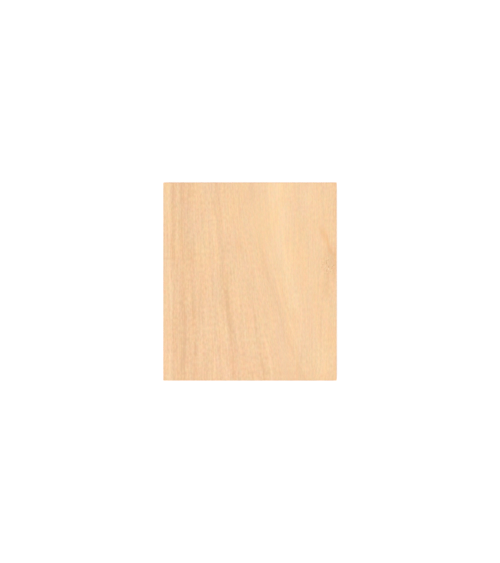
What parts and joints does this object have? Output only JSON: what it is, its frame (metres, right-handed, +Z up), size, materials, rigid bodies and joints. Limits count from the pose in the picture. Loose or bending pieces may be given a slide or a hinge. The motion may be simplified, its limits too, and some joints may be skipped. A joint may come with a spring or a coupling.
{
  "type": "plywood sheet",
  "caption": "Flat rectangular sheet of veneer-core plywood with a pale, calm hardwood face and square sawn edges.",
  "frame": {"origin": "middle of the sheet's underside, on the surface that the sheet lies on", "axes": "+Z up, out of the good face; +Y along the grain of the faces, the sheet's longer side; +X across the grain"},
  "size_m": [0.61, 0.697, 0.018],
  "materials": {
    "hardwood_plywood": "unfinished, fine sanded, satin; pale peach-cream face veneer"
  },
  "bodies": {
    "root": {"plywood_sheet": "hardwood_plywood"}
  },
  "joints": []
}
